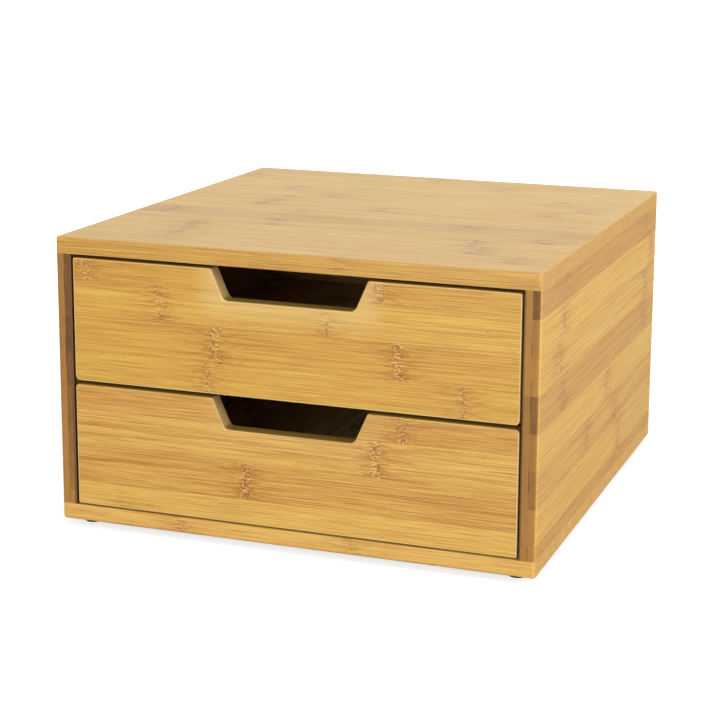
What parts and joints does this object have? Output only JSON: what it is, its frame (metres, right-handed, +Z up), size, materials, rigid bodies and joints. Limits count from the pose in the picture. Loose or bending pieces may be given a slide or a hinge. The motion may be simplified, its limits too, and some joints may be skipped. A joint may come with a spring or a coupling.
{
  "type": "coffee capsule drawer",
  "caption": "Low square bamboo box with inset drawers one above the other, each with a trapezoid finger cut-out, on small rubber feet.",
  "frame": {"origin": "on the ground, in the middle of the footprint", "axes": "+Z up, drawers open towards -Y, +X to the right seen from the front"},
  "size_m": [0.3, 0.31, 0.18],
  "materials": {
    "case_bamboo": "clear satin varnish",
    "drawer_front_bamboo": "clear satin varnish",
    "inner_bamboo": "sanded",
    "dowel_wood": "plain",
    "foot_rubber": "matt black",
    "screw_steel": "zinc plated"
  },
  "bodies": {
    "case": {"top_panel": "case_bamboo", "bottom_panel": "case_bamboo", "left_side_panel": "case_bamboo", "right_side_panel": "case_bamboo", "back_panel": "inner_bamboo", "left_runner": "inner_bamboo", "right_runner": "inner_bamboo", "left_kicker": "inner_bamboo", "right_kicker": "inner_bamboo", "rail_screws": "screw_steel", "case_dowels": "dowel_wood", "front_left_foot": "foot_rubber", "front_right_foot": "foot_rubber", "back_left_foot": "foot_rubber", "back_right_foot": "foot_rubber", "foot_screws": "screw_steel"},
    "upper_drawer": {"upper_drawer_front": "drawer_front_bamboo", "upper_drawer_left_side": "inner_bamboo", "upper_drawer_right_side": "inner_bamboo", "upper_drawer_back": "inner_bamboo", "upper_drawer_bottom": "inner_bamboo", "upper_drawer_dowels": "dowel_wood"},
    "lower_drawer": {"lower_drawer_front": "drawer_front_bamboo", "lower_drawer_left_side": "inner_bamboo", "lower_drawer_right_side": "inner_bamboo", "lower_drawer_back": "inner_bamboo", "lower_drawer_bottom": "inner_bamboo", "lower_drawer_dowels": "dowel_wood"}
  },
  "joints": [
    {"name": "upper_drawer_slide", "type": "slide", "parent": "case", "child": "upper_drawer", "axis": [0, -1, 0], "range_m": [0, 0.24]},
    {"name": "lower_drawer_slide", "type": "slide", "parent": "case", "child": "lower_drawer", "axis": [0, -1, 0], "range_m": [0, 0.24]}
  ]
}
